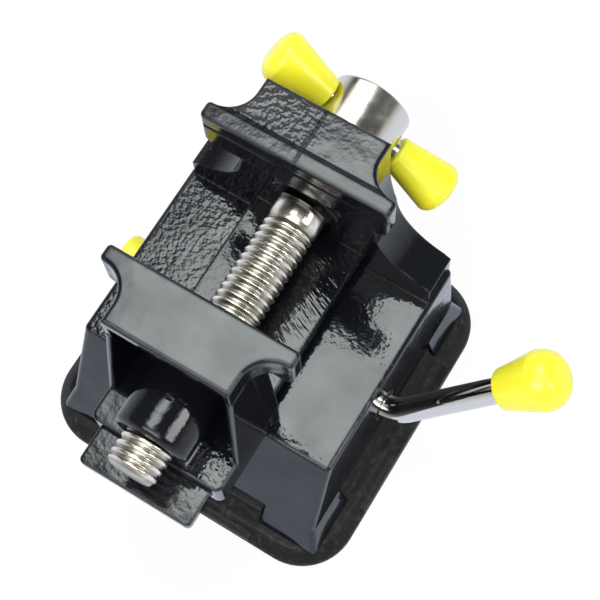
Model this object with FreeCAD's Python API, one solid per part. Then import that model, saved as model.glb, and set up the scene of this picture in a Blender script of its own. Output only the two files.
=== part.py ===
import FreeCAD, Part
import math
import os

os.makedirs("parts", exist_ok=True)

# Suction base vise, lengths in millimetres and angles in degrees.
# X runs to the lever side, Y from the free end of the rail to the screw head, Z up.
# The origin is the middle of the pad's underside, on the table.

V = FreeCAD.Vector
UP = V(0, 0, 1)
RIGHT = V(1, 0, 0)
BACK = V(0, 1, 0)

# Clearances
run_gap = 0.05
slide_gap = 0.15
lip_gap = 0.3
end_gap = 0.1
overlap = 1.0
edge_slack = 0.01

# Base of the casting, from the deck outwards and down
deck_z = 58.3
deck_half_x = 51.4
deck_length = 86.6
deck_middle = 6.9
deck_front = deck_middle - deck_length / 2
deck_back = deck_middle + deck_length / 2
wall = 4.5
deck_thick = 5.0
corner_round = 2.2
deck_round = 1.6
pad_top = 8.3
foot_z = pad_top
foot_height = 11.7
skirt_z = foot_z + foot_height
skirt_spread = 2.0
skirt_half_x = deck_half_x + skirt_spread
front_slope = 15.8
skirt_front = deck_front - front_slope
back_slope = 2.4
skirt_back = deck_back + back_slope
foot_spread = 3.6
foot_half_x = skirt_half_x + foot_spread
foot_front_spread = 5.1
foot_front = skirt_front - foot_front_spread
foot_back_spread = 3.7
foot_back = skirt_back + foot_back_spread
foot_width_x = 24.0
foot_width_y = 23.6
arch_half_x = foot_half_x - foot_width_x
arch_half_y = foot_half_x - foot_width_y

# Suction pad
pad_margin_x = 7.6
pad_margin_y = 8.25
pad_half_x = foot_half_x + pad_margin_x
pad_half_y = (foot_back - foot_front) / 2 + pad_margin_y
pad_corner = 21.2
pad_edge = 3.2
pad_slope = 5.5
ramp_rise = 8.5
ramp_top = foot_z + ramp_rise
ramp_wall_out = 0.8
ramp_mid_out = 4.2
ramp_mid_rise = 0.2
ramp_mid_z = pad_top + ramp_mid_rise
ramp_toe_rise = 2.6
ramp_toe = pad_edge + ramp_toe_rise
ramp_toe_in = 0.2
ramp_deep = 13.2
ramp_side_gap = 0.6

# Rail
rail_height = 11.7
rail_top = deck_z + rail_height
rail_half = 22.4
rail_thick = 4.5
rail_reach = 42.6
rail_end = deck_front - rail_reach
rail_round = 2.0
rail_edge = 0.8
neck_half = 16.0
neck_in = 3.0
neck_end = rail_end + neck_in

# Lead screw
screw_rise = 19.9
screw_z = rail_top + screw_rise
screw_r = 9.25
screw_in = 3.0
screw_tip = rail_end + screw_in
tip_bevel = 1.6
neck_r = 8.9
shank_r = 6.5
bush_r = 9.5
front_washer_r = 12.0
front_washer_thick = 2.1
boss_r = 14.0
boss_out = 2.5
rear_washer_r = 13.0
rear_washer_thick = 1.5
tower_thick = 15.3
tower_front = deck_back - tower_thick
shoulder_y = tower_front - boss_out - front_washer_thick - end_gap
neck_length = 3.8
band_end = shoulder_y - neck_length

# Tower and fixed jaw
flank_top_half = 23.1
jaw_rise = 44.2
jaw_top = screw_z + jaw_rise
jaw_high = 18.1
jaw_plate_z = jaw_top - jaw_high
jaw_deep = 11.8
jaw_block_z = jaw_top - jaw_deep
scallop = 10.4
jaw_end_round = 1.5
jaw_half = flank_top_half + scallop + jaw_end_round
jaw_thick = 5.9
jaw_corner = 4.5
jaw_out = 7.1
fixed_plane = tower_front - jaw_out
seam_half = 0.95
seam_depth = 0.3
parting_r = 0.6
parting_raise = 0.25
groove_drop = 7.1
groove_z = jaw_top - groove_drop
groove_half = 1.1
groove_depth = 1.0
edge_round = 1.3
flank_drop = 19.1
flank_top_z = jaw_top - flank_drop
shoulder_in = 4.4
shoulder_half = deck_half_x - shoulder_in
shoulder_rise = 10.9
shoulder_z = deck_z + shoulder_rise
shoulder_end_half = deck_half_x - deck_round
shoulder_fall = 1.6
shoulder_end_z = shoulder_z - shoulder_fall
flank_wide_shares = (0.046, 0.142, 0.44)
flank_high_shares = (0.771, 0.541, 0.175)

# Screw head and its cross bar
head_r = 15.1
head_start = deck_back + rear_washer_thick + end_gap
head_length = 27.7
head_end = head_start + head_length
head_round = 1.0
pin_in = 5.2
pin_y = head_start + pin_in
pin_r = 2.0
pin_sink = 0.3
bar_r = 4.0
bar_in = 9.1
bar_y = head_end - bar_in
shank_short = 3.4
shank_end = bar_y - bar_r - shank_short
bar_tilt = -31.0
bar_left_gap = 0.2
bar_right_gap = 1.7
cap_length = 25.0
cap_hole = 20.0
bar_cap_r = 6.5
bar_cap_big_r = 9.75
bar_cap_dome = 4.6
bar_cap_round = 1.0
cap_dome_power = 0.6
dome_steps = 6

# Moving jaw
jaw_open = 51.2
moving_plane = fixed_plane - jaw_open
jaw_length = 22.9
block_front = moving_plane - jaw_length
saddle_behind = 4.4
saddle_back = moving_plane - saddle_behind
saddle_wall = 6.6
rib_thick = 2.3
rib_proud = 0.2
rib_top_half = flank_top_half + rib_proud
rib_spread = 3.9
rib_low_half = rail_half + rib_spread
rib_ahead = 0.2
rib_top_front = block_front - rib_ahead
rib_slope = 7.3
rib_low_front = rib_top_front - rib_slope
saddle_ahead = 11.1
saddle_front = rib_low_front - saddle_ahead
saddle_thick = 5.5
saddle_top = rail_top + saddle_thick
saddle_over = 3.6
saddle_half = rail_half + saddle_over
saddle_corner = 3.0
saddle_round = 1.0
deck_gap = 1.4
skid_z = deck_z + deck_gap
neck_gap = 0.6
lip_half = neck_half + neck_gap
jaw_roof = 4.5
rib_round = 0.9
nut_r = 14.0
nut_in = 0.6
nut_front = saddle_front + nut_in
nut_round = 2.6
pedestal_half = 9.0
pedestal_flare = 5.0
pedestal_in = 1.5
pedestal_round = 1.2

# Lever and its shaft
shaft_rise = 25.7
shaft_z = pad_top + shaft_rise
shaft_r = 4.75
bend_out = 6.6
bend_x = deck_half_x + bend_out
bend_r = 11.0
lever_bend = 50.0
lever_rise = 60.0
arm_length = 47.5
lever_cap_r = 7.6
lever_cap_big_r = 10.9
lever_cap_dome = 9.0
lever_cap_round = 1.0
end_cap_r = 9.25
end_cap_gap = 2.3
end_cap_in = -deck_half_x - end_cap_gap
end_cap_length = 8.3
end_cap_out = end_cap_in - end_cap_length
end_cap_wall = 2.0
shaft_left = end_cap_out + end_cap_wall
end_cap_round = 1.5
bush_out_r = 6.5
bush_flange_r = 8.5
bush_flange = 1.5
bush_out = 0.6
bush_sink = deck_half_x + bush_out
bush_boss_r = 10.0
bush_boss_length = 7.4
bush_boss_in = deck_half_x - bush_boss_length
clip_r = 8.0
clip_thick = 1.2
clip_gap = 0.3

# Cam, yoke and pull stud
cam_r = 8.5
cam_throw = 2.07
cam_half = 5.0
cam_angle = -75.0
cam_gap = 0.5
grub_r = 2.0
grub_length = 4.5
yoke_half_x = 7.0
yoke_side = 4.4
yoke_top = 4.5
yoke_bottom = 8.0
stud_r = 4.0
stud_engage = 6.5
disc_gap = 0.3
stud_base = pad_top + disc_gap
disc_r = 30.0
disc_thick = 2.4
nut_half_flat = 6.5
nut_thick = 3.4


def block(x0, x1, y0, y1, z0, z1):
    return Part.makeBox(x1 - x0, y1 - y0, z1 - z0, V(x0, y0, z0))


def rod(start, axis, radius, length):
    return Part.makeCylinder(radius, length, start, axis)


def prism(points, travel):
    return Part.Face(Part.makePolygon(points + points[:1])).extrude(travel)


def mirrored(shape):
    return shape.mirror(V(0, 0, 0), RIGHT)


def paired(shape):
    return shape.fuse(mirrored(shape))


def joined(first, *others):
    return first.fuse(list(others)).removeSplitter()


def rectangle(half_x, front, back, z):
    corners = [V(-half_x, front, z), V(half_x, front, z), V(half_x, back, z), V(-half_x, back, z)]
    return Part.makePolygon(corners + corners[:1])


def shifted(wire, y):
    moved = wire.copy()
    moved.translate(V(0, y, 0))
    return moved


def round_corner(centre, radius, start):
    points = []
    for share in (0, 0.5, 1):
        turn = math.radians(start + 90 * share)
        points.append(centre + V(math.cos(turn), math.sin(turn), 0) * radius)
    return points


def rounded(half_x, half_y, radius, z):
    arcs = []
    for sx, sy, start in ((1, 1, 0), (-1, 1, 90), (-1, -1, 180), (1, -1, 270)):
        centre = V(sx * (half_x - radius), sy * (half_y - radius), z)
        arcs.append(round_corner(centre, radius, start))
    edges = []
    for here, after in zip(arcs, arcs[1:] + arcs[:1]):
        edges.append(Part.Arc(*here).toShape())
        edges.append(Part.makeLine(here[-1], after[0]))
    return Part.Wire(edges)


def edges_where(shape, test):
    return [edge for edge in shape.Edges if test(edge)]


def level_edge(edge, z):
    box = edge.BoundBox
    return abs(box.ZMin - z) < edge_slack and abs(box.ZMax - z) < edge_slack


def top_rounded(shape, radius, z):
    return shape.makeFillet(radius, edges_where(shape, lambda edge: level_edge(edge, z)))


# Suction pad: moulded rubber plate, flat below, with a ramp in each arch
def pad_ramp(half_span, reach, skirt_at):
    toe = V(reach - ramp_toe_in, 0, ramp_toe)
    toe_low = V(reach - ramp_toe_in, 0, pad_edge / 2)
    mid = V(skirt_at + ramp_mid_out, 0, ramp_mid_z)
    head = V(skirt_at + ramp_wall_out, 0, ramp_top)
    inner = skirt_at + ramp_wall_out - ramp_deep
    curve = Part.Arc(toe, mid, head)
    top = Part.makeLine(head, V(inner, 0, ramp_top))
    back = Part.makeLine(V(inner, 0, ramp_top), V(inner, 0, pad_edge / 2))
    base = Part.makeLine(V(inner, 0, pad_edge / 2), toe_low)
    edge = Part.makeLine(toe_low, toe)
    face = Part.Face(Part.Wire([curve.toShape(), top, back, base, edge]))
    face.translate(V(0, -half_span, 0))
    return face.extrude(V(0, 2 * half_span, 0))


pad_rim = Part.Face(rounded(pad_half_x, pad_half_y, pad_corner, 0)).extrude(V(0, 0, pad_edge))
pad_slope_low = rounded(pad_half_x, pad_half_y, pad_corner, pad_edge)
pad_slope_high = rounded(pad_half_x - pad_slope, pad_half_y - pad_slope, pad_corner - pad_slope, pad_top)
pad_hill = Part.makeLoft([pad_slope_low, pad_slope_high], True, True)
suction_pad = pad_rim.fuse(pad_hill)
skirt_half_y = (skirt_back - skirt_front) / 2 + overlap
side_ramp = pad_ramp(arch_half_y - ramp_side_gap, pad_half_x, skirt_half_x)
end_ramp = pad_ramp(arch_half_x - ramp_side_gap, pad_half_y, skirt_half_y)
for quarter in (0, 2):
    turned = side_ramp.copy()
    turned.rotate(V(0, 0, 0), UP, 90 * quarter)
    suction_pad = suction_pad.fuse(turned)
for quarter in (1, 3):
    turned = end_ramp.copy()
    turned.rotate(V(0, 0, 0), UP, 90 * quarter)
    suction_pad = suction_pad.fuse(turned)
suction_pad = suction_pad.removeSplitter()

# Base of the casting: hollow, open below, an arch in each side
def skirt_outline(half_x, front, back, z):
    return shifted(rounded(half_x, (back - front) / 2, corner_round, z), (back + front) / 2)


foot_wire = skirt_outline(foot_half_x, foot_front, foot_back, foot_z)
skirt_wire = skirt_outline(skirt_half_x, skirt_front, skirt_back, skirt_z)
deck_wire = skirt_outline(deck_half_x, deck_front, deck_back, deck_z)
skirt = Part.makeLoft([foot_wire, skirt_wire, deck_wire], True, True)
skirt = top_rounded(skirt, deck_round, deck_z)
cave_low = rectangle(skirt_half_x - wall, skirt_front + wall, skirt_back - wall, skirt_z)
cave_top_z = deck_z - deck_thick
cave_high = rectangle(deck_half_x - wall, deck_front + wall, deck_back - wall, cave_top_z)
cave = Part.makeLoft([cave_low, cave_high], True, True)
cave_foot = block(wall - skirt_half_x, skirt_half_x - wall, skirt_front + wall, skirt_back - wall,
                  foot_z - overlap, skirt_z)
front_arch = block(-arch_half_x, arch_half_x, foot_front - overlap, foot_back + overlap,
                   foot_z - overlap, skirt_z)
side_arch = block(-foot_half_x - overlap, foot_half_x + overlap, -arch_half_y, arch_half_y,
                  foot_z - overlap, skirt_z)
skirt = skirt.cut(cave.fuse([cave_foot, front_arch, side_arch]))

# Bosses inside the side walls for the lever shaft
shaft_boss = rod(V(bush_boss_in, 0, shaft_z), RIGHT, bush_boss_r, deck_half_x - overlap - bush_boss_in)

# Rail: flat plate on a narrower neck, open at its free end
rail_low = rail_top - rail_thick
rail_plate = block(-rail_half, rail_half, rail_end, tower_front + overlap, rail_low, rail_top)


def rail_corner(edge):
    box = edge.BoundBox
    return box.ZMax - box.ZMin > rail_thick / 2 and box.YMax < neck_end


rail_plate = rail_plate.makeFillet(rail_round, edges_where(rail_plate, rail_corner))
rail_plate = top_rounded(rail_plate, rail_edge, rail_top)
rail_neck = block(-neck_half, neck_half, neck_end, tower_front + overlap, deck_z - overlap, rail_low + overlap)
neck_relief = block(-neck_half - overlap, neck_half + overlap, neck_end - overlap, deck_front,
                    deck_z - 2 * overlap, deck_z)
rail_neck = rail_neck.cut(neck_relief)

# Tower: flanks sweep out to the shoulders over the deck's rear corners
flank = []
for wide_share, high_share in zip(flank_wide_shares, flank_high_shares):
    flank.append(V(flank_top_half + (shoulder_half - flank_top_half) * wide_share, 0,
                   shoulder_z + (flank_top_z - shoulder_z) * high_share))
flank_a = Part.Arc(V(flank_top_half, 0, flank_top_z), flank[0], flank[1]).toShape()
flank_b = Part.Arc(flank[1], flank[2], V(shoulder_half, 0, shoulder_z)).toShape()
tower_line = [V(shoulder_half, 0, shoulder_z), V(shoulder_end_half, 0, shoulder_end_z),
              V(shoulder_end_half, 0, deck_z - deck_thick / 2), V(0, 0, deck_z - deck_thick / 2),
              V(0, 0, jaw_block_z + overlap), V(flank_top_half, 0, jaw_block_z + overlap),
              V(flank_top_half, 0, flank_top_z)]
tower_sides = [Part.makeLine(here, after) for here, after in zip(tower_line, tower_line[1:])]
tower_face = Part.Face(Part.Wire([flank_a, flank_b] + tower_sides))
tower_face.translate(V(0, tower_front, 0))
tower_depth = deck_back - tower_front
tower = paired(tower_face.extrude(V(0, tower_depth, 0))).removeSplitter()


# Jaw neck seen from above: it starts inside the jaw's plate and has hollowed corners behind it
def jaw_neck(plane, facing, far, low, high):
    inside = plane + facing * jaw_thick / 2
    back = plane + facing * jaw_thick
    centre_x = flank_top_half + scallop
    centre_y = back + facing * scallop
    diagonal = scallop * math.sqrt(0.5)
    line_a = Part.makeLine(V(0, inside, low), V(centre_x, inside, low))
    line_b = Part.makeLine(V(centre_x, inside, low), V(centre_x, back, low))
    arc = Part.Arc(V(centre_x, back, low),
                   V(centre_x - diagonal, centre_y - facing * diagonal, low),
                   V(flank_top_half, centre_y, low)).toShape()
    line_c = Part.makeLine(V(flank_top_half, centre_y, low), V(flank_top_half, far, low))
    line_d = Part.makeLine(V(flank_top_half, far, low), V(0, far, low))
    line_e = Part.makeLine(V(0, far, low), V(0, inside, low))
    face = Part.Face(Part.Wire([line_a, line_b, arc, line_c, line_d, line_e]))
    return paired(face.extrude(V(0, 0, high - low))).removeSplitter()


# Jaw plate: round ends seen from above, rounded lower corners seen from the front
def jaw_plate(plane, facing):
    back = plane + facing * jaw_thick
    upright = block(-jaw_half, jaw_half, min(plane, back), max(plane, back), jaw_plate_z, jaw_top)

    def low_corner(edge):
        box = edge.BoundBox
        return box.YMax - box.YMin > jaw_thick / 2 and box.ZMax < jaw_plate_z + overlap

    upright = upright.makeFillet(jaw_corner, edges_where(upright, low_corner))
    outline = shifted(rounded(jaw_half, jaw_thick / 2, jaw_end_round, jaw_plate_z), (plane + back) / 2)
    return upright.common(Part.Face(outline).extrude(V(0, 0, jaw_top - jaw_plate_z)))


fixed_jaw = joined(jaw_neck(fixed_plane, 1, deck_back, jaw_block_z, jaw_top), jaw_plate(fixed_plane, 1))
fixed_jaw = top_rounded(fixed_jaw, edge_round, jaw_top)
seam_y = fixed_plane + jaw_thick
seam = prism([V(-jaw_half, seam_y - seam_half, jaw_top), V(-jaw_half, seam_y, jaw_top - seam_depth),
              V(-jaw_half, seam_y + seam_half, jaw_top), V(-jaw_half, seam_y, jaw_top + overlap)],
             V(2 * jaw_half, 0, 0))
parting = rod(V(0, fixed_plane - overlap, jaw_top + parting_raise), BACK, parting_r,
              deck_back - fixed_plane + 2 * overlap)
groove = prism([V(-jaw_half - overlap, fixed_plane - overlap, groove_z - groove_half - overlap),
                V(-jaw_half - overlap, fixed_plane + groove_depth, groove_z),
                V(-jaw_half - overlap, fixed_plane - overlap, groove_z + groove_half + overlap)],
               V(2 * (jaw_half + overlap), 0, 0))
fixed_jaw = fixed_jaw.cut(groove.fuse([seam, parting]))

# Boss ring round the screw on the tower, and the bore for the bush
washer_y = shoulder_y + end_gap
boss_y = washer_y + front_washer_thick
screw_boss = rod(V(0, boss_y, screw_z), BACK, boss_r, tower_front + overlap - boss_y)
screw_bore = rod(V(0, boss_y - overlap, screw_z), BACK, bush_r, deck_back - boss_y + 2 * overlap)
shaft_hole = rod(V(-foot_half_x, 0, shaft_z), RIGHT, bush_out_r, 2 * foot_half_x)
body_casting = joined(skirt, shaft_boss, mirrored(shaft_boss), rail_plate, rail_neck, tower,
                      fixed_jaw, screw_boss)
body_casting = body_casting.cut(screw_bore).cut(shaft_hole)

# Bush and thrust washers of the screw
bush_length = deck_back - boss_y
screw_bush = rod(V(0, boss_y, screw_z), BACK, bush_r, bush_length)
screw_bush = screw_bush.cut(rod(V(0, boss_y - overlap, screw_z), BACK, shank_r + run_gap,
                                bush_length + 2 * overlap))


def washer(y, radius, thick):
    ring = rod(V(0, y, screw_z), BACK, radius, thick)
    return ring.cut(rod(V(0, y - overlap, screw_z), BACK, shank_r + run_gap, thick + 2 * overlap))


thrust_washer_front = washer(washer_y, front_washer_r, front_washer_thick)
thrust_washer_rear = washer(deck_back, rear_washer_r, rear_washer_thick)

# Lead screw: threaded bar, drawn at its crest diameter, with a turned shank through the tower
thread_bar = rod(V(0, screw_tip, screw_z), BACK, screw_r, band_end - screw_tip)
thread_bar = thread_bar.makeChamfer(tip_bevel, edges_where(
    thread_bar, lambda edge: edge.BoundBox.YMax < screw_tip + overlap))
neck = rod(V(0, band_end - overlap, screw_z), BACK, neck_r, shoulder_y - band_end + overlap)
shank = rod(V(0, shoulder_y - overlap, screw_z), BACK, shank_r, shank_end - shoulder_y + overlap)
pin_hole = rod(V(0, pin_y, screw_z - head_r - overlap), UP, pin_r, head_r + shank_r + overlap)
lead_screw = joined(thread_bar, neck, shank).cut(pin_hole)

# Screw head: plain cylinder pinned to the shank, cross-drilled for the bar
bar_axis = V(math.cos(math.radians(bar_tilt)), 0, math.sin(math.radians(bar_tilt)))
bar_centre = V(0, bar_y, screw_z)
screw_head = rod(V(0, head_start, screw_z), BACK, head_r, head_end - head_start)
screw_head = screw_head.makeFillet(head_round, edges_where(
    screw_head, lambda edge: edge.BoundBox.YMax - edge.BoundBox.YMin < overlap))
shank_hole = rod(V(0, head_start - overlap, screw_z), BACK, shank_r, shank_end - head_start + overlap)
bar_hole = rod(bar_centre - bar_axis * 2 * head_r, bar_axis, bar_r + run_gap, 4 * head_r)
screw_head = screw_head.cut(shank_hole).cut(bar_hole).cut(pin_hole)
head_pin = rod(V(0, pin_y, screw_z - head_r + pin_sink), UP, pin_r, head_r + shank_r - pin_sink)

# Cross bar and its two moulded caps
bar_left_cap = -head_r - bar_left_gap
bar_right_cap = head_r + bar_right_gap
bar_start = bar_left_cap - cap_hole
bar_length = bar_right_cap + cap_hole - bar_start
tommy_bar = rod(bar_centre + bar_axis * bar_start, bar_axis, bar_r, bar_length)


def moulded_cap(small, big, dome, mouth_round, bore):
    points = [V(small - mouth_round, 0, 0)]
    points.append(V(small, 0, mouth_round))
    crown = cap_length - dome
    for step in range(dome_steps + 1):
        turn = math.radians(90 * step / dome_steps)
        radius = big * math.cos(turn) ** cap_dome_power if step < dome_steps else 0
        points.append(V(radius, 0, crown + dome * math.sin(turn)))
    side = Part.makeLine(points[1], points[2])
    mouth_turn = V(small - mouth_round * (1 - math.sqrt(0.5)), 0, mouth_round * (1 - math.sqrt(0.5)))
    mouth = Part.Arc(points[0], mouth_turn, points[1]).toShape()
    curve = Part.BSplineCurve()
    curve.interpolate(points[2:])
    base = Part.makeLine(V(0, 0, 0), points[0])
    axis = Part.makeLine(points[-1], V(0, 0, 0))
    face = Part.Face(Part.Wire([base, mouth, side, curve.toShape(), axis]))
    solid = face.revolve(V(0, 0, 0), UP, 360)
    return solid.cut(rod(V(0, 0, -overlap), UP, bore, cap_hole + overlap))


def placed(shape, start, axis):
    moved = shape.copy()
    moved.Placement = FreeCAD.Placement(start, FreeCAD.Rotation(UP, axis))
    return moved


bar_cap = moulded_cap(bar_cap_r, bar_cap_big_r, bar_cap_dome, bar_cap_round, bar_r)
bar_cap_left = placed(bar_cap, bar_centre + bar_axis * bar_left_cap, bar_axis * -1)
bar_cap_right = placed(bar_cap, bar_centre + bar_axis * bar_right_cap, bar_axis)

# Moving jaw: jaw block on an upright wall with two ribs, a nut boss and skids round the rail
moving_head = joined(jaw_neck(moving_plane, -1, block_front, jaw_block_z, jaw_top),
                     jaw_plate(moving_plane, -1))
moving_head = top_rounded(moving_head, edge_round, jaw_top)
saddle_low = rail_top + slide_gap
wall_front = saddle_back - saddle_wall
upright = prism([V(-rib_low_half, wall_front, saddle_low + overlap),
                 V(rib_low_half, wall_front, saddle_low + overlap),
                 V(rib_top_half, wall_front, jaw_block_z + overlap),
                 V(-rib_top_half, wall_front, jaw_block_z + overlap)],
                V(0, saddle_wall, 0))


def rib_wire(outer, front, z):
    corners = [V(outer - rib_thick, front, z), V(outer, front, z), V(outer, saddle_back, z),
               V(outer - rib_thick, saddle_back, z)]
    return Part.makePolygon(corners + corners[:1])


rib = Part.makeLoft([rib_wire(rib_low_half, rib_low_front, saddle_low + overlap),
                     rib_wire(rib_top_half, rib_top_front, jaw_block_z)], True, True)


def rib_front_edge(edge):
    box = edge.BoundBox
    return box.YMax < saddle_back - overlap and box.ZMax - box.ZMin > 2 * rib_thick


rib = rib.makeFillet(rib_round, edges_where(rib, rib_front_edge))
rib_head = block(rib_top_half - rib_thick, flank_top_half, block_front, saddle_back,
                 jaw_block_z - overlap, jaw_block_z + overlap)
jaw_hollow = block(rib_thick - rib_top_half, rib_top_half - rib_thick, block_front - overlap, wall_front,
                   jaw_block_z - overlap, jaw_top - jaw_roof)

# Saddle that grips the rail: a plate with a skid down each side and a lip under each rail edge
saddle = block(-saddle_half, saddle_half, saddle_front, saddle_back, skid_z, saddle_top)


def saddle_front_corner(edge):
    box = edge.BoundBox
    return box.YMax < saddle_front + overlap and box.ZMax - box.ZMin > overlap


saddle = saddle.makeFillet(saddle_corner, edges_where(saddle, saddle_front_corner))
saddle = top_rounded(saddle, saddle_round, saddle_top)
rail_channel = block(-rail_half - lip_gap, rail_half + lip_gap, saddle_front - overlap, saddle_back + overlap,
                     rail_low - lip_gap, saddle_low)
neck_channel = block(-lip_half, lip_half, saddle_front - overlap, saddle_back + overlap,
                     skid_z - overlap, rail_low)
saddle = saddle.cut(rail_channel.fuse(neck_channel))

# Nut boss on a pedestal that flares into the saddle plate
nut_boss = rod(V(0, nut_front, screw_z), BACK, nut_r, saddle_back - nut_front)
nut_boss = nut_boss.makeFillet(nut_round, edges_where(
    nut_boss, lambda edge: edge.BoundBox.YMax < nut_front + overlap))
pedestal_y = nut_front + pedestal_in
flare_turn = pedestal_flare * (1 - math.sqrt(0.5))
flare_foot = V(pedestal_half + pedestal_flare, pedestal_y, saddle_top)
flare_middle = V(pedestal_half + flare_turn, pedestal_y, saddle_top + flare_turn)
flare_head = V(pedestal_half, pedestal_y, saddle_top + pedestal_flare)
pedestal_line = [flare_head, V(pedestal_half, pedestal_y, screw_z), V(0, pedestal_y, screw_z),
                 V(0, pedestal_y, saddle_top - overlap),
                 V(pedestal_half + pedestal_flare, pedestal_y, saddle_top - overlap), flare_foot]
pedestal_sides = [Part.makeLine(here, after) for here, after in zip(pedestal_line, pedestal_line[1:])]
flare = Part.Arc(flare_foot, flare_middle, flare_head).toShape()
pedestal = Part.Face(Part.Wire([flare] + pedestal_sides)).extrude(V(0, saddle_back - pedestal_y, 0))
pedestal = paired(pedestal)
nut_hole = rod(V(0, saddle_front - overlap, screw_z), BACK, screw_r + run_gap,
               moving_plane - saddle_front + 2 * overlap)
movable_jaw = joined(moving_head.cut(jaw_hollow), upright, rib, mirrored(rib), rib_head, mirrored(rib_head),
                     saddle, nut_boss, pedestal).cut(nut_hole)

# Lever: one bent rod, its straight end running through both side walls
half_bend = math.radians(lever_bend / 2)
setback = bend_r * math.tan(half_bend)
bend_start = V(bend_x - setback, 0, shaft_z)
shaft = rod(V(shaft_left, 0, shaft_z), RIGHT, shaft_r, bend_x - setback - shaft_left)
bend_face = Part.Face(Part.Wire(Part.makeCircle(shaft_r, bend_start, RIGHT)))
bend = bend_face.revolve(bend_start + V(0, bend_r, 0), UP, lever_bend)
arm_flat = V(math.cos(math.radians(lever_bend)), math.sin(math.radians(lever_bend)), 0)
bend_corner = V(bend_x, 0, shaft_z)
arm = rod(bend_corner + arm_flat * setback, arm_flat, shaft_r, arm_length + cap_hole - setback)
suction_lever = joined(shaft, bend, arm)
lever_cap = moulded_cap(lever_cap_r, lever_cap_big_r, lever_cap_dome, lever_cap_round, shaft_r)
lever_cap = placed(lever_cap, bend_corner + arm_flat * arm_length, arm_flat)
for piece in (suction_lever, lever_cap):
    piece.rotate(V(0, 0, shaft_z), RIGHT, lever_rise)

# Cap on the far end of the shaft
shaft_end_cap = rod(V(end_cap_out, 0, shaft_z), RIGHT, end_cap_r, end_cap_in - end_cap_out)
shaft_end_cap = shaft_end_cap.makeFillet(end_cap_round, edges_where(
    shaft_end_cap, lambda edge: edge.BoundBox.XMax < end_cap_out + overlap))
shaft_end_cap = shaft_end_cap.cut(rod(V(shaft_left, 0, shaft_z), RIGHT, shaft_r, end_cap_in - shaft_left + overlap))

# Flanged bushes of the shaft in the side walls, and the clips inside them
bush_right = rod(V(bush_boss_in, 0, shaft_z), RIGHT, bush_out_r, bush_sink - bush_boss_in)
flange = rod(V(bush_boss_in - bush_flange, 0, shaft_z), RIGHT, bush_flange_r, bush_flange)
bush_hole = rod(V(bush_boss_in - bush_flange - overlap, 0, shaft_z), RIGHT, shaft_r + run_gap,
                bush_sink - bush_boss_in + bush_flange + 2 * overlap)
shaft_bush_right = joined(bush_right, flange).cut(bush_hole)
shaft_bush_left = mirrored(shaft_bush_right)
clip_x = bush_boss_in - bush_flange - clip_gap - clip_thick
clip = rod(V(clip_x, 0, shaft_z), RIGHT, clip_r, clip_thick)
clip = clip.cut(rod(V(clip_x - overlap, 0, shaft_z), RIGHT, shaft_r, clip_thick + 2 * overlap))
shaft_clips = Part.makeCompound([clip, mirrored(clip)])

# Eccentric cam on the shaft and the screw that locks it
throw = V(0, math.cos(math.radians(cam_angle)), math.sin(math.radians(cam_angle)))
shaft_middle = V(0, 0, shaft_z)
cam_centre = shaft_middle + throw * cam_throw
cam = rod(cam_centre - RIGHT * cam_half, RIGHT, cam_r, 2 * cam_half)
cam = cam.cut(rod(shaft_middle - RIGHT * 2 * cam_half, RIGHT, shaft_r, 4 * cam_half))
grub_start = shaft_middle + throw * shaft_r
cam_set_screw = rod(grub_start, throw, grub_r, grub_length)
lift_cam = cam.cut(rod(grub_start - throw * grub_r, throw, grub_r, cam_r + cam_throw))
shaft_solid = rod(shaft_middle - RIGHT * cam_half, RIGHT, shaft_r, 2 * cam_half)
cam_set_screw = cam_set_screw.cut(shaft_solid)

# Yoke round the cam, screwed to the stud that rises from the pad's disc
window_half_y = cam_r + cam_throw + cam_gap
window_half_z = cam_r + cam_gap
window_low = cam_centre.z - window_half_z
window_high = cam_centre.z + window_half_z
yoke_half_y = window_half_y + yoke_side
yoke_low = window_low - yoke_bottom
pull_yoke = block(-yoke_half_x, yoke_half_x, -yoke_half_y, yoke_half_y, yoke_low, window_high + yoke_top)
pull_yoke = pull_yoke.cut(block(-yoke_half_x - overlap, yoke_half_x + overlap, -window_half_y, window_half_y,
                                window_low, window_high))
stud_top = yoke_low + stud_engage
pull_yoke = pull_yoke.cut(rod(V(0, 0, yoke_low - overlap), UP, stud_r, stud_engage + overlap))
pull_stud = rod(V(0, 0, stud_base), UP, stud_r, stud_top - stud_base)
pad_disc = rod(V(0, 0, stud_base), UP, disc_r, disc_thick)
pad_disc = pad_disc.cut(rod(V(0, 0, stud_base - overlap), UP, stud_r, disc_thick + 2 * overlap))
nut_corner = nut_half_flat / math.cos(math.radians(30))
nut_low = yoke_low - nut_thick
nut_points = []
for side in range(6):
    turn = math.radians(60 * side)
    nut_points.append(V(nut_corner * math.cos(turn), nut_corner * math.sin(turn), nut_low))
stud_nut = prism(nut_points, V(0, 0, nut_thick))
stud_nut = stud_nut.cut(rod(V(0, 0, nut_low - overlap), UP, stud_r, nut_thick + 2 * overlap))

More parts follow.
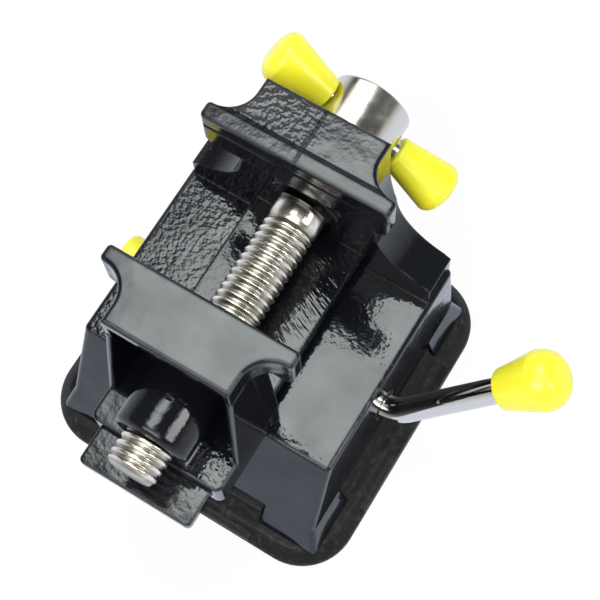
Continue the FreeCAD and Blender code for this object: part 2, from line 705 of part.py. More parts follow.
nodes = {
    "body_casting": body_casting,
    "suction_pad": suction_pad,
    "screw_bush": screw_bush,
    "thrust_washer_front": thrust_washer_front,
    "thrust_washer_rear": thrust_washer_rear,
    "shaft_bush_right": shaft_bush_right,
    "shaft_bush_left": shaft_bush_left,
    "lead_screw": lead_screw,
    "screw_head": screw_head,
    "head_pin": head_pin,
    "tommy_bar": tommy_bar,
    "bar_cap_left": bar_cap_left,
    "bar_cap_right": bar_cap_right,
    "movable_jaw": movable_jaw,
    "suction_lever": suction_lever,
    "lever_cap": lever_cap,
    "shaft_end_cap": shaft_end_cap,
    "shaft_clips": shaft_clips,
    "lift_cam": lift_cam,
    "cam_set_screw": cam_set_screw,
    "pull_yoke": pull_yoke,
    "pull_stud": pull_stud,
    "pad_disc": pad_disc,
    "stud_nut": stud_nut,
}
for name, shape in nodes.items():
    shape.exportStep("parts/" + name + ".step")
    box = shape.BoundBox
    print(name, shape.isValid(), len(shape.Solids), "volume %.0f" % shape.Volume,
          "x %.1f %.1f" % (box.XMin, box.XMax), "y %.1f %.1f" % (box.YMin, box.YMax),
          "z %.1f %.1f" % (box.ZMin, box.ZMax))
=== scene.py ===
# Suction base vise: black enamelled castings, plated screw and lever, yellow moulded caps.
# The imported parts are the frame; each section dresses or rebuilds one piece in place.
import math

import bmesh
import bpy
from mathutils import Matrix, Vector


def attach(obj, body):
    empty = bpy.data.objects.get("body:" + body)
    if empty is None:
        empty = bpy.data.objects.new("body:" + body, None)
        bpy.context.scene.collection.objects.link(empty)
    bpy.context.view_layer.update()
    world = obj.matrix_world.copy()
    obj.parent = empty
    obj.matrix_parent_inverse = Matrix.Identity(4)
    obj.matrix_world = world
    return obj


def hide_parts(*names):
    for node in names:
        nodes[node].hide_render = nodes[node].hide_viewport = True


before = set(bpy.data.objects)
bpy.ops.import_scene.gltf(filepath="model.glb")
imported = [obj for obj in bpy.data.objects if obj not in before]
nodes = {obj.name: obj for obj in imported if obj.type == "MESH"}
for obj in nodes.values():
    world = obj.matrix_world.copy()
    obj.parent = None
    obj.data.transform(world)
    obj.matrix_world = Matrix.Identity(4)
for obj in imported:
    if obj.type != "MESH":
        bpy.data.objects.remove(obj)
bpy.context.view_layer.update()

# Camera: where the photograph was taken from, found by fitting straight and round edges of the vise.
# It stands half a metre away, high over the front right corner, and is rolled a little.
MM = 0.001
view_turn = math.radians(36.198)
view_tilt = math.radians(70.675)
view_roll = math.radians(-5.007)
aim = Vector((0, 6.75, 60.3)) * MM
eye_distance = 512.3 * MM
eye_right = 11.324 * MM
eye_down = 1.116 * MM
focal_length_px = 1428.7
frame_width_px = 600
sensor_width = 36

forward = Vector((-math.sin(view_turn) * math.cos(view_tilt),
                  math.cos(view_turn) * math.cos(view_tilt), -math.sin(view_tilt)))
level = Vector((math.cos(view_turn), math.sin(view_turn), 0))
upward = level.cross(forward)
right = level * math.cos(view_roll) + upward * math.sin(view_roll)
top = upward * math.cos(view_roll) - level * math.sin(view_roll)
eye = aim - forward * eye_distance + right * eye_right - top * eye_down
camera = bpy.data.objects.new("camera", bpy.data.cameras.new("camera"))
bpy.context.scene.collection.objects.link(camera)
camera.data.sensor_width = sensor_width
camera.data.lens = sensor_width * focal_length_px / frame_width_px
camera.data.clip_start = 0.01
camera.data.clip_end = 20
camera.matrix_world = Matrix.Translation(eye) @ Matrix((right, top, -forward)).transposed().to_4x4()
bpy.context.scene.camera = camera
bpy.context.scene.view_settings.view_transform = "Standard"


# Studio: a white table that runs out of sight, in a room that is pale low down and dim overhead. A round
# lamp that fades to its edge stands where the flat tops mirror it, smaller ones light the front and the
# right side, and two faint screens fill the mirror images in between.
def linear(hex_colour):
    parts = [int(hex_colour[i:i + 2], 16) / 255 for i in (1, 3, 5)]
    return [p / 12.92 if p <= 0.04045 else ((p + 0.055) / 1.055) ** 2.4 for p in parts] + [1]


def add(tree, kind, settings=(), **inputs):
    made = tree.nodes.new(kind)
    for name, value in dict(settings).items():
        setattr(made, name, value)
    for name, value in inputs.items():
        socket = made.inputs[int(name[1:])] if name[1:].isdigit() else made.inputs[name.replace("_", " ")]
        if isinstance(value, bpy.types.NodeSocket):
            tree.links.new(value, socket)
        else:
            socket.default_value = value
    return made


def new_material(name):
    made = bpy.data.materials.new(name)
    made.use_nodes = True
    made.node_tree.nodes.clear()
    return made, made.node_tree


def lamp(name, place, target, width, depth, radiance, colour=(1, 1, 1)):
    data = bpy.data.lights.new(name, "AREA")
    data.shape = "RECTANGLE"
    data.size = width
    data.size_y = depth
    data.energy = radiance * math.pi * width * depth
    data.color = colour
    made = bpy.data.objects.new(name, data)
    bpy.context.scene.collection.objects.link(made)
    made.location = place
    made.rotation_euler = (Vector(place) - Vector(target)).to_track_quat("Z", "Y").to_euler()
    return data


soft_place = Vector((-0.11, 0.19, 0.9))
soft_below = (-0.11, 0.19, 0)
soft_radius = 0.265
soft_edge = 0.12
daylight = (0.93, 1.0, 0.99)
soft_lamp = lamp("soft_lamp", soft_place, soft_below, 2 * soft_radius, 2 * soft_radius, 9.2, daylight)
soft_lamp.shape = "ELLIPSE"
soft_lamp.energy *= math.pi / 4
soft_lamp.use_nodes = True
tree = soft_lamp.node_tree
tree.nodes.clear()
spot = add(tree, "ShaderNodeNewGeometry")
off = add(tree, "ShaderNodeVectorMath", {"operation": "DISTANCE"}, _0=spot.outputs["Position"], _1=soft_place)
fade = add(tree, "ShaderNodeMapRange", {"interpolation_type": "SMOOTHSTEP"}, Value=off.outputs["Value"],
           From_Min=0.5 * soft_radius, From_Max=soft_radius, To_Min=1.0, To_Max=soft_edge)
shining = add(tree, "ShaderNodeEmission", Color=(1, 1, 1, 1), Strength=fade.outputs[0])
add(tree, "ShaderNodeOutputLight", Surface=shining.outputs[0])
lamp("front_lamp", (0.02, -0.62, 0.78), (0, 0, 0.06), 0.8, 0.34, 7.0)
lamp("right_lamp", (0.9, 0.12, 0.78), (0, 0, 0.08), 0.28, 0.5, 9.0)
lamp("front_screen", (0.12, -0.3, 1.05), (0, 0, 0.1), 0.9, 0.4, 1.9)
lamp("back_screen", (-0.45, 0.66, 0.95), (-0.05, 0.05, 0.1), 1.1, 0.5, 1.6)

# White laminate gives an even white that keeps a soft shadow, and mirror images of it are a little cool.
table_half = 6
table_glow = 0.9
cool_white = (0.86, 0.93, 1.08, 1)
table_material, tree = new_material("white_table_laminate")
path = add(tree, "ShaderNodeLightPath")
seen = add(tree, "ShaderNodeMath", {"operation": "MAXIMUM"}, _0=path.outputs["Is Camera Ray"],
           _1=path.outputs["Is Glossy Ray"])
seen = add(tree, "ShaderNodeMath", {"operation": "MAXIMUM"}, _0=seen.outputs[0],
           _1=path.outputs["Is Transmission Ray"])
share = add(tree, "ShaderNodeMath", {"operation": "MULTIPLY"}, _0=seen.outputs[0], _1=table_glow)
tint = add(tree, "ShaderNodeMix", {"data_type": "RGBA"}, _0=path.outputs["Is Glossy Ray"], _6=(1, 1, 1, 1),
           _7=cool_white)
glow = add(tree, "ShaderNodeEmission", Color=tint.outputs[2], Strength=1.0)
laminate = add(tree, "ShaderNodeBsdfDiffuse", Color=linear("#f2f2f0"))
mixed = add(tree, "ShaderNodeMixShader", _0=share.outputs[0], _1=laminate.outputs[0], _2=glow.outputs[0])
add(tree, "ShaderNodeOutputMaterial", Surface=mixed.outputs[0])
bm = bmesh.new()
bmesh.ops.create_grid(bm, x_segments=1, y_segments=1, size=table_half)
table_mesh = bpy.data.meshes.new("table")
bm.to_mesh(table_mesh)
bm.free()
table_top = bpy.data.objects.new("table", table_mesh)
bpy.context.scene.collection.objects.link(table_top)
table_mesh.materials.append(table_material)

# The walls, by the height of the direction that is looked in: 0 is level, 1 straight up.
pale_up_to = 0.02
dim_from = 0.4
pale_wall = 0.8
dim_wall = 0.1
world = bpy.data.worlds.new("room")
bpy.context.scene.world = world
world.use_nodes = True
world.node_tree.nodes.clear()
tree = world.node_tree
path = add(tree, "ShaderNodeLightPath")
way = add(tree, "ShaderNodeTexCoord")
height = add(tree, "ShaderNodeSeparateXYZ", Vector=way.outputs["Generated"])
fade = add(tree, "ShaderNodeMapRange", {"interpolation_type": "SMOOTHSTEP"}, Value=height.outputs["Z"],
           From_Min=pale_up_to, From_Max=dim_from, To_Min=pale_wall, To_Max=dim_wall)
seen = add(tree, "ShaderNodeMath", {"operation": "MAXIMUM"}, _0=path.outputs["Is Camera Ray"],
           _1=fade.outputs[0])
walls = add(tree, "ShaderNodeBackground", Color=(1, 1, 1, 1), Strength=seen.outputs[0])
add(tree, "ShaderNodeOutputWorld", Surface=walls.outputs[0])

# Body casting: light alloy, one piece with hollow base, rail, tower and fixed jaw, dipped in black stoving
# enamel and baked. The moving jaw, cast and dipped the same way, slides on the rail.
jaw_top_z = 134.1 * MM
fixed_face_y = 27.8 * MM
lip_reach = 2.6 * MM
lip_depth = 3 * MM
seam_y = 33.7 * MM
seam_half = 0.8 * MM
seam_floor_z = 133 * MM
edge_radius = 1.1 * MM
lip_radius = 1.8 * MM
pit_size = 2.083 * MM
patch_near = 12 * MM
patch_far = 50 * MM
patch_rise = 3.6
steep_share = 0.15
wave_size = 9.52 * MM
wave_height = 0.16 * MM
cloud_size = 13.33 * MM
run_size = Vector((7, 1.4, 4)) * MM
run_turn = math.radians(-25)
run_height = 0.3 * MM

# Zones of the cast skin: axis, where the zone starts and ends along it, how much rougher it is at either
# end, and the height it lies below or above. They are the left deck, the fixed jaw's right half, and the
# strip between the fixed jaw's face and the seam.
skin_zones = (("X", -24.0 * MM, -20.0 * MM, 0.9, 0.0, "LESS_THAN", 62 * MM),
              ("X", -1.0 * MM, 3.0 * MM, 0.0, -0.7, "GREATER_THAN", 110 * MM),
              ("Y", 33.0 * MM, 34.4 * MM, -0.75, 0.0, "GREATER_THAN", 110 * MM))


# Stoving enamel gives a near-black ground with sharp mirror images on the slopes. Over the pits of the cast
# tops these break up, and along each edge runs a bright line where the enamel is drawn round it.
def enamel(name, pit_depth, rough_patch):
    made, tree = new_material(name)
    spot = add(tree, "ShaderNodeTexCoord")
    place = add(tree, "ShaderNodeSeparateXYZ", Vector=spot.outputs["Object"])

    # Round edges, wider along the fixed jaw's upper lip
    at_face = add(tree, "ShaderNodeMath", {"operation": "COMPARE"}, _0=place.outputs["Y"], _1=fixed_face_y,
                  _2=lip_reach)
    at_top = add(tree, "ShaderNodeMath", {"operation": "COMPARE"}, _0=place.outputs["Z"], _1=jaw_top_z,
                 _2=lip_depth)
    lip = add(tree, "ShaderNodeMath", {"operation": "MULTIPLY"}, _0=at_face.outputs[0], _1=at_top.outputs[0])
    radius = add(tree, "ShaderNodeMapRange", Value=lip.outputs[0], To_Min=edge_radius, To_Max=lip_radius)
    edge = add(tree, "ShaderNodeBevel", {"samples": 4}, Radius=radius.outputs[0])

    # Pits, where a face looks up, deepest round one patch
    facing = add(tree, "ShaderNodeSeparateXYZ", Vector=spot.outputs["Normal"])
    depth = add(tree, "ShaderNodeMapRange", Value=facing.outputs["Z"], From_Min=0.42, From_Max=0.75,
                To_Min=steep_share * pit_depth, To_Max=pit_depth)
    away = add(tree, "ShaderNodeVectorMath", {"operation": "DISTANCE"}, _0=spot.outputs["Object"],
               _1=rough_patch)
    patch = add(tree, "ShaderNodeMapRange", {"interpolation_type": "SMOOTHSTEP"}, Value=away.outputs["Value"],
                From_Min=patch_near, From_Max=patch_far, To_Min=patch_rise, To_Max=1.0)
    factors = [patch]
    for axis, start, stop, first, last, side, height_z in skin_zones:
        across = add(tree, "ShaderNodeMapRange", Value=place.outputs[axis], From_Min=start, From_Max=stop,
                     To_Min=first, To_Max=last)
        within = add(tree, "ShaderNodeMath", {"operation": side}, _0=place.outputs["Z"], _1=height_z)
        factors.append(add(tree, "ShaderNodeMath", {"operation": "MULTIPLY_ADD"}, _0=across.outputs[0],
                           _1=within.outputs[0], _2=1.0))
    for factor in factors:
        depth = add(tree, "ShaderNodeMath", {"operation": "MULTIPLY"}, _0=depth.outputs[0],
                    _1=factor.outputs[0])
    pits = add(tree, "ShaderNodeTexNoise", Vector=spot.outputs["Object"], Scale=1 / pit_size, Detail=1,
               Roughness=0.5)
    skin = add(tree, "ShaderNodeBump", Height=pits.outputs[0], Distance=depth.outputs[0],
               Normal=edge.outputs[0])

    # Runs of enamel that sagged across the right half of the rail's top
    sag = add(tree, "ShaderNodeMapRange", Value=place.outputs["X"], From_Min=6 * MM, From_Max=14 * MM,
              To_Min=0.0, To_Max=run_height)
    before_side = add(tree, "ShaderNodeMapRange", Value=place.outputs["X"], From_Min=20.5 * MM,
                      From_Max=22.2 * MM, To_Min=1.0, To_Max=0.0)
    below_screw = add(tree, "ShaderNodeMath", {"operation": "LESS_THAN"}, _0=place.outputs["Z"], _1=72 * MM)
    behind_jaw = add(tree, "ShaderNodeMath", {"operation": "GREATER_THAN"}, _0=place.outputs["Y"],
                     _1=-30 * MM)
    for limit in (before_side, below_screw, behind_jaw):
        sag = add(tree, "ShaderNodeMath", {"operation": "MULTIPLY"}, _0=sag.outputs[0], _1=limit.outputs[0])
    slanted = add(tree, "ShaderNodeMapping", {"vector_type": "TEXTURE"}, Vector=spot.outputs["Object"],
                  Scale=run_size, Rotation=(0, 0, run_turn))
    runs = add(tree, "ShaderNodeTexNoise", Vector=slanted.outputs[0], Scale=1, Detail=1)
    sagged = add(tree, "ShaderNodeBump", Height=runs.outputs[0], Distance=sag.outputs[0],
                 Normal=skin.outputs[0])

    # Slow waves of the dipped coat
    waves = add(tree, "ShaderNodeTexNoise", Vector=spot.outputs["Object"], Scale=1 / wave_size, Detail=1)
    bump = add(tree, "ShaderNodeBump", Height=waves.outputs[0], Distance=wave_height,
               Normal=sagged.outputs[0])

    # Cloudy shine, and painted shade in the seam on the jaw's top: less shine there, so the groove renders
    # dark
    clouds = add(tree, "ShaderNodeTexNoise", Vector=spot.outputs["Object"], Scale=1 / cloud_size, Detail=4,
                 Roughness=0.6)
    shine = add(tree, "ShaderNodeMapRange", Value=clouds.outputs[0], From_Min=0.3, From_Max=0.7, To_Min=0.34,
                To_Max=0.46)
    in_seam = add(tree, "ShaderNodeMath", {"operation": "COMPARE"}, _0=place.outputs["Y"], _1=seam_y,
                  _2=seam_half)
    on_top = add(tree, "ShaderNodeMath", {"operation": "GREATER_THAN"}, _0=place.outputs["Z"],
                 _1=seam_floor_z)
    seam_painted_shade = add(tree, "ShaderNodeMath", {"operation": "MULTIPLY"}, _0=in_seam.outputs[0],
                _1=on_top.outputs[0])
    # Painted shade: the shine drops inside the seam band
    shine = add(tree, "ShaderNodeMath", {"operation": "MULTIPLY_ADD", "use_clamp": True}, _0=seam_painted_shade.outputs[0],
                _1=-0.3, _2=shine.outputs[0])
    paint = add(tree, "ShaderNodeBsdfPrincipled", Base_Color=linear("#121419"), Roughness=0.09, IOR=1.5,
                Specular_IOR_Level=shine.outputs[0], Normal=bump.outputs[0])
    add(tree, "ShaderNodeOutputMaterial", Surface=paint.outputs[0])
    return made


def dress(material, *names):
    for name in names:
        nodes[name].data.materials.clear()
        nodes[name].data.materials.append(material)


casting_enamel = enamel("black_stoving_enamel_on_casting", 0.08 * MM, Vector((-12, 44, 134)) * MM)
dress(casting_enamel, "body_casting")
jaw_enamel = enamel("black_stoving_enamel_on_jaw", 0.05 * MM, Vector((30, -56, 75)) * MM)
dress(jaw_enamel, "movable_jaw")


# Suction pad: thick nitrile rubber moulding under the base, held by the pull stud's disc. A ramp in each
# arch rises to the casting's wall, and the broad rim lies flat on the table.
def as_piece(bm, name, body, slot, material, *replaced, crease=35):
    bmesh.ops.remove_doubles(bm, verts=bm.verts, dist=1e-6)
    bmesh.ops.recalc_face_normals(bm, faces=bm.faces)
    mesh = bpy.data.meshes.new(name)
    bm.to_mesh(mesh)
    bm.free()
    mesh.shade_smooth()
    mesh.set_sharp_from_angle(angle=math.radians(crease))
    mesh.materials.append(material)
    made = bpy.data.objects.new(name, mesh)
    bpy.context.scene.collection.objects.link(made)
    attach(made, body)
    if replaced:
        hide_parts(*replaced)
    return made


def round_edges(bm, edges, width, segments):
    bmesh.ops.bevel(bm, geom=edges, offset=width, offset_type="OFFSET", affect="EDGES", segments=segments,
                    profile=0.5, material=-1)


def take_in(bm, other):
    lump = bpy.data.meshes.new("lump")
    other.to_mesh(lump)
    other.free()
    bm.from_mesh(lump)
    bpy.data.meshes.remove(lump)


pad_half_x = 64.6 * MM
pad_half_y = 65.05 * MM
pad_corner = 21.2 * MM
pad_thick = 8.3 * MM
pad_slope = 5.1 * MM
pad_upper_round = 0.9 * MM
pad_lower_round = 0.8 * MM
ramp_round = 10.4 * MM
ramp_sweep = math.radians(92)
ramp_toe_in = 0.2 * MM
ramp_centre_z = 16.2 * MM
ramp_deep = 23.4 * MM
ramp_foot_z = 1.6 * MM
ramp_half_spans = (32.8 * MM, 32.4 * MM)
ramp_edge = 0.5 * MM

# Nitrile rubber gives a soft, dull black with a grey bloom of dust in patches. Its grain is finer in truth
# than 1 mm and is drawn this coarse so that it shows.
grain_size = 1.111 * MM
speck_size = 3.125 * MM
bloom_size = 16.67 * MM
rubber, tree = new_material("black_nitrile_rubber")
spot = add(tree, "ShaderNodeTexCoord")
grain = add(tree, "ShaderNodeTexNoise", Vector=spot.outputs["Object"], Scale=1 / grain_size, Detail=3,
            Roughness=0.6)
dust = add(tree, "ShaderNodeTexNoise", Vector=spot.outputs["Object"], Scale=1 / speck_size, Detail=4,
           Roughness=0.7)
specks = add(tree, "ShaderNodeMapRange", Value=dust.outputs[0], From_Min=0.52, From_Max=0.66)
bloom = add(tree, "ShaderNodeTexNoise", Vector=spot.outputs["Object"], Scale=1 / bloom_size, Detail=2)
haze = add(tree, "ShaderNodeMath", {"operation": "MULTIPLY"}, _0=specks.outputs[0], _1=bloom.outputs[0])
tint = add(tree, "ShaderNodeMix", {"data_type": "RGBA"}, _0=haze.outputs[0], _6=linear("#0c0c0c"),
           _7=linear("#3b3b3a"))
dull = add(tree, "ShaderNodeMapRange", Value=bloom.outputs[0], From_Min=0.3, From_Max=0.7, To_Min=0.42,
           To_Max=0.6)
bump = add(tree, "ShaderNodeBump", Height=grain.outputs[0], Distance=0.2 * MM, Strength=0.35)
surface = add(tree, "ShaderNodeBsdfPrincipled", Base_Color=tint.outputs[2], Roughness=dull.outputs[0],
              IOR=1.52, Specular_IOR_Level=0.25, Normal=bump.outputs[0])
add(tree, "ShaderNodeOutputMaterial", Surface=surface.outputs[0])

bm = bmesh.new()
bmesh.ops.create_cube(bm, size=1)
bmesh.ops.scale(bm, verts=bm.verts, vec=(2 * pad_half_x, 2 * pad_half_y, pad_thick))
bmesh.ops.translate(bm, verts=bm.verts, vec=(0, 0, pad_thick / 2))
upright = [e for e in bm.edges if abs(e.verts[0].co.z - e.verts[1].co.z) > pad_thick / 2]
round_edges(bm, upright, pad_corner, 14)
upper = [e for e in bm.edges if min(e.verts[0].co.z, e.verts[1].co.z) > pad_thick * 0.9]
round_edges(bm, upper, pad_slope, 1)
shoulders = [e for e in bm.edges if len(e.link_faces) == 2 and abs(e.verts[0].co.z - e.verts[1].co.z) < 1e-6
             and e.calc_face_angle(0) > math.radians(30) and e.verts[0].co.z > pad_lower_round]
round_edges(bm, shoulders, pad_upper_round, 2)
lower = [e for e in bm.edges if max(e.verts[0].co.z, e.verts[1].co.z) < pad_lower_round / 2]
round_edges(bm, lower, pad_lower_round, 2)
for quarter in range(4):
    reach = (pad_half_x, pad_half_y)[quarter % 2]
    half_span = ramp_half_spans[quarter % 2]
    toe_x = reach - ramp_toe_in
    ramp = bmesh.new()
    toe = ramp.verts.new((toe_x, -half_span, ramp_centre_z - ramp_round))
    bmesh.ops.spin(ramp, geom=[toe], cent=(toe_x, -half_span, ramp_centre_z), axis=(0, 1, 0),
                   angle=ramp_sweep, steps=14)
    head = max(ramp.verts, key=lambda v: v.co.z)
    corners = [ramp.verts.new((reach - ramp_deep, -half_span, head.co.z)),
               ramp.verts.new((reach - ramp_deep, -half_span, ramp_foot_z)),
               ramp.verts.new((toe_x, -half_span, ramp_foot_z))]
    for here, after in zip([head] + corners, corners + [toe]):
        ramp.edges.new((here, after))
    end = bmesh.ops.edgenet_fill(ramp, edges=ramp.edges)["faces"]
    grown = bmesh.ops.extrude_face_region(ramp, geom=end)["geom"]
    bmesh.ops.translate(ramp, verts=[v for v in grown if isinstance(v, bmesh.types.BMVert)],
                        vec=(0, 2 * half_span, 0))
    bmesh.ops.recalc_face_normals(ramp, faces=ramp.faces)
    rims = [e for e in ramp.edges if len(e.link_faces) == 2 and e.calc_face_angle(0) > math.radians(50)]
    round_edges(ramp, rims, ramp_edge, 2)
    bmesh.ops.rotate(ramp, verts=ramp.verts, cent=(0, 0, 0),
                     matrix=Matrix.Rotation(math.radians(90 * quarter), 3, "Z"))
    take_in(bm, ramp)
as_piece(bm, "suction_pad_moulding", "base", "pad_rubber", rubber, "suction_pad")

# Lead screw: turned from steel bar, with a rolled thread of 3 mm pitch, then nickel plated. A plain
# collar and a narrower shank run through the tower to the head, which is pinned on.
screw_z = 89.9 * MM
pitch = 3.0 * MM
crest = 9.25 * MM
root = 8.4 * MM
screw_tip = -76.0 * MM
thread_end = 23.2 * MM
tip_radius = 7.7 * MM
profile_points = 10
round_steps = 64
thread_merge = 2e-6
collar_line = ((23.2, 0.0), (23.2, 8.3), (23.5, 8.6), (25.6, 9.25), (30.2, 9.25), (30.2, 6.5), (63.0, 6.5),
               (63.0, 0.0))

# The plated thread gives pale, warm crests over brown, dull roots. The brown towards the roots is painted
# shade in the grooves together with grime, and blots of grime lie over it at random.
blot_size = 3.846 * MM
plated, tree = new_material("nickel_plated_rolled_thread")
spot = add(tree, "ShaderNodeTexCoord")
centred = add(tree, "ShaderNodeMapping", Vector=spot.outputs["Object"], Location=(0, 0, -screw_z))
flat = add(tree, "ShaderNodeVectorMath", {"operation": "MULTIPLY"}, _0=centred.outputs[0], _1=(1, 0, 1))
radius = add(tree, "ShaderNodeVectorMath", {"operation": "LENGTH"}, _0=flat.outputs[0])
rise = add(tree, "ShaderNodeMapRange", Value=radius.outputs["Value"], From_Min=root, From_Max=crest,
           To_Min=-0.15, To_Max=0.45)
blots = add(tree, "ShaderNodeTexNoise", Vector=spot.outputs["Object"], Scale=1 / blot_size, Detail=3)
# Darker towards the roots by radius: painted shade in the grooves, with the blots as grime
lit_and_clean = add(tree, "ShaderNodeMath", {"operation": "ADD", "use_clamp": True}, _0=rise.outputs[0],
            _1=blots.outputs[0])
tint = add(tree, "ShaderNodeMix", {"data_type": "RGBA"}, _0=lit_and_clean.outputs[0], _6=linear("#6f6655"),
           _7=linear("#efeadd"))
dull = add(tree, "ShaderNodeMapRange", Value=lit_and_clean.outputs[0], To_Min=0.42, To_Max=0.23)
ripple = add(tree, "ShaderNodeBump", Height=blots.outputs[0], Distance=0.1 * MM, Strength=0.3)
surface = add(tree, "ShaderNodeBsdfPrincipled", Base_Color=tint.outputs[2], Metallic=1.0,
              Roughness=dull.outputs[0], Normal=ripple.outputs[0])
add(tree, "ShaderNodeOutputMaterial", Surface=surface.outputs[0])

# The thread's profile is a wave with flat crests and roots, spun round and drawn back by one pitch a turn.
bm = bmesh.new()
turns = math.ceil((thread_end - screw_tip) / pitch) + 2
chain = []
for step in range(profile_points * turns):
    swell = min(1, max(0, 0.5 - 0.9 * math.cos(2 * math.pi * step / profile_points)))
    along = screw_tip + pitch * (step / profile_points - 1)
    chain.append(bm.verts.new((0, along, screw_z + root + (crest - root) * swell)))
line = [bm.edges.new(pair) for pair in zip(chain, chain[1:])]
bmesh.ops.spin(bm, geom=chain + line, cent=(0, 0, screw_z), axis=(0, 1, 0), dvec=(0, pitch / round_steps, 0),
               angle=math.radians(360), steps=round_steps)
bmesh.ops.remove_doubles(bm, verts=bm.verts, dist=thread_merge)
for end_y, outside in ((screw_tip, -1), (thread_end, 1)):
    bmesh.ops.bisect_plane(bm, geom=bm.verts[:] + bm.edges[:] + bm.faces[:], dist=1e-7,
                           plane_co=(0, end_y, 0), plane_no=(0, outside, 0), clear_outer=True)

# The tip's bevel: no point lies further out than a cone of 45 degrees allows.
for vertex in bm.verts:
    out = Vector((vertex.co.x, vertex.co.z - screw_z))
    allowed = tip_radius + vertex.co.y - screw_tip
    if out.length > allowed:
        out *= allowed / out.length
        vertex.co.x, vertex.co.z = out.x, screw_z + out.y
open_edges = [e for e in bm.edges if e.is_boundary]
for end_y in (screw_tip, thread_end):
    ring = [e for e in open_edges if all(abs(v.co.y - end_y) < 1e-5 for v in e.verts)]
    bmesh.ops.edgenet_fill(bm, edges=ring)

collar = bmesh.new()
chain = [collar.verts.new((0, along * MM, screw_z + out * MM)) for along, out in collar_line]
line = [collar.edges.new(pair) for pair in zip(chain, chain[1:])]
bmesh.ops.spin(collar, geom=chain + line, cent=(0, 0, screw_z), axis=(0, 1, 0), angle=math.radians(360),
               steps=round_steps, use_merge=True)
take_in(bm, collar)
as_piece(bm, "lead_screw_threaded", "screw", "nickel_plate", plated, "lead_screw", crease=50)

# Screw head and cross bar: turned from steel bar, polished and nickel plated. The head is pinned on the
# screw's shank, and the bar slides in a hole through it.
# Plated turned steel gives a pale mirror that haze from handling and the lathe's marks blur. The marks are
# far finer than 0.7 mm and are drawn this coarse so that they show.
haze_size = 7.143 * MM
mark_size = 0.6667 * MM
nickel, tree = new_material("nickel_plated_turned_steel")
spot = add(tree, "ShaderNodeTexCoord")
haze = add(tree, "ShaderNodeTexNoise", Vector=spot.outputs["Object"], Scale=1 / haze_size, Detail=4,
           Roughness=0.65)
marks = add(tree, "ShaderNodeTexNoise", Vector=spot.outputs["Object"], Scale=1 / mark_size, Detail=2)
dull = add(tree, "ShaderNodeMapRange", Value=haze.outputs[0], From_Min=0.35, From_Max=0.7, To_Min=0.14,
           To_Max=0.26)
ripple = add(tree, "ShaderNodeBump", Height=marks.outputs[0], Distance=0.06 * MM, Strength=0.3)
surface = add(tree, "ShaderNodeBsdfPrincipled", Base_Color=linear("#d9d5cc"), Metallic=1.0,
              Roughness=dull.outputs[0], Normal=ripple.outputs[0])
add(tree, "ShaderNodeOutputMaterial", Surface=surface.outputs[0])
dress(nickel, "screw_head", "tommy_bar")

# Lever: drawn steel rod, bent cold, buffed and nickel plated. Its straight end runs through both side walls
# of the base and carries the cam.
# A drawn and buffed rod gives a sharp mirror, black above and white below, with a slight haze.
rod_haze_size = 11.11 * MM
drawn, tree = new_material("nickel_plated_drawn_rod")
spot = add(tree, "ShaderNodeTexCoord")
haze = add(tree, "ShaderNodeTexNoise", Vector=spot.outputs["Object"], Scale=1 / rod_haze_size, Detail=2)
dull = add(tree, "ShaderNodeMapRange", Value=haze.outputs[0], From_Min=0.35, From_Max=0.7, To_Min=0.05,
           To_Max=0.11)
surface = add(tree, "ShaderNodeBsdfPrincipled", Base_Color=linear("#d4d1cb"), Metallic=1.0,
              Roughness=dull.outputs[0])
add(tree, "ShaderNodeOutputMaterial", Surface=surface.outputs[0])
dress(drawn, "suction_lever")

# Thrust washers: steel rings stamped from strip, blackened and oiled, one loose on the screw at each side
# of the tower.
# Blackened steel gives a dark brown sheen with worn, paler spots.
wear_size = 2.5 * MM
blacked, tree = new_material("blackened_oiled_steel")
spot = add(tree, "ShaderNodeTexCoord")
wear = add(tree, "ShaderNodeTexNoise", Vector=spot.outputs["Object"], Scale=1 / wear_size, Detail=3)
tint = add(tree, "ShaderNodeMix", {"data_type": "RGBA"}, _0=wear.outputs[0], _6=linear("#1d1c1b"),
           _7=linear("#4a4744"))
surface = add(tree, "ShaderNodeBsdfPrincipled", Base_Color=tint.outputs[2], Metallic=1.0, Roughness=0.25)
add(tree, "ShaderNodeOutputMaterial", Surface=surface.outputs[0])
dress(blacked, "thrust_washer_front", "thrust_washer_rear")

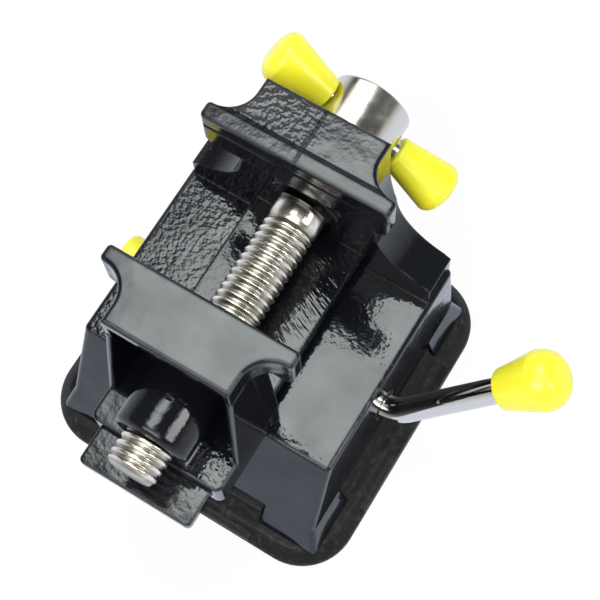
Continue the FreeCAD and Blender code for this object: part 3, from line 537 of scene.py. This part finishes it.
# Pull parts and small fasteners: cut from steel bar and strip and left bare under a film of oil. The cam
# lifts the yoke, whose stud draws up the disc in the pad.
# Oiled bare steel gives a mid-grey, uneven sheen.
cut_size = 1.429 * MM
machined, tree = new_material("oiled_machined_steel")
spot = add(tree, "ShaderNodeTexCoord")
cuts = add(tree, "ShaderNodeTexNoise", Vector=spot.outputs["Object"], Scale=1 / cut_size, Detail=3)
tint = add(tree, "ShaderNodeMix", {"data_type": "RGBA"}, _0=cuts.outputs[0], _6=linear("#5e5c59"),
           _7=linear("#9a9893"))
dull = add(tree, "ShaderNodeMapRange", Value=cuts.outputs[0], To_Min=0.25, To_Max=0.45)
surface = add(tree, "ShaderNodeBsdfPrincipled", Base_Color=tint.outputs[2], Metallic=1.0,
              Roughness=dull.outputs[0])
add(tree, "ShaderNodeOutputMaterial", Surface=surface.outputs[0])
dress(machined, "head_pin", "shaft_clips", "lift_cam", "cam_set_screw", "pull_yoke", "pull_stud", "pad_disc",
      "stud_nut")

# Bushes: sintered bronze, pressed into the tower for the screw and into both side walls for the lever.
# Sintered bronze gives a dull, oily gold-brown. Its pores are about a tenth of a millimetre wide and are
# drawn coarser so that they show.
pore_size = 0.8333 * MM
sintered, tree = new_material("sintered_bronze")
spot = add(tree, "ShaderNodeTexCoord")
pores = add(tree, "ShaderNodeTexNoise", Vector=spot.outputs["Object"], Scale=1 / pore_size, Detail=2)
tint = add(tree, "ShaderNodeMix", {"data_type": "RGBA"}, _0=pores.outputs[0], _6=linear("#6e5230"),
           _7=linear("#b08a54"))
surface = add(tree, "ShaderNodeBsdfPrincipled", Base_Color=tint.outputs[2], Metallic=1.0, Roughness=0.4)
add(tree, "ShaderNodeOutputMaterial", Surface=surface.outputs[0])
dress(sintered, "screw_bush", "shaft_bush_left", "shaft_bush_right")

# Caps: soft vinyl, dip moulded over a mandrel and pushed on the ends of cross bar, lever and shaft.
# Vinyl gives a bright yellow that light sinks into a little, with soft highlights on a faintly wavy skin.
skin_size = 6.25 * MM
vinyl, tree = new_material("yellow_dip_moulded_vinyl")
spot = add(tree, "ShaderNodeTexCoord")
skin = add(tree, "ShaderNodeTexNoise", Vector=spot.outputs["Object"], Scale=1 / skin_size, Detail=2)
bump = add(tree, "ShaderNodeBump", Height=skin.outputs[0], Distance=0.2 * MM, Strength=0.2)
tint = add(tree, "ShaderNodeMix", {"data_type": "RGBA"}, _0=skin.outputs[0], _6=linear("#fbe92e"),
           _7=linear("#fff244"))
surface = add(tree, "ShaderNodeBsdfPrincipled", Base_Color=tint.outputs[2], Roughness=0.3, IOR=1.54,
              Subsurface_Weight=0.6, Subsurface_Radius=(1.0, 0.8, 0.15), Subsurface_Scale=6 * MM,
              Normal=bump.outputs[0])
add(tree, "ShaderNodeOutputMaterial", Surface=surface.outputs[0])
dress(vinyl, "bar_cap_left", "bar_cap_right", "lever_cap", "shaft_end_cap")
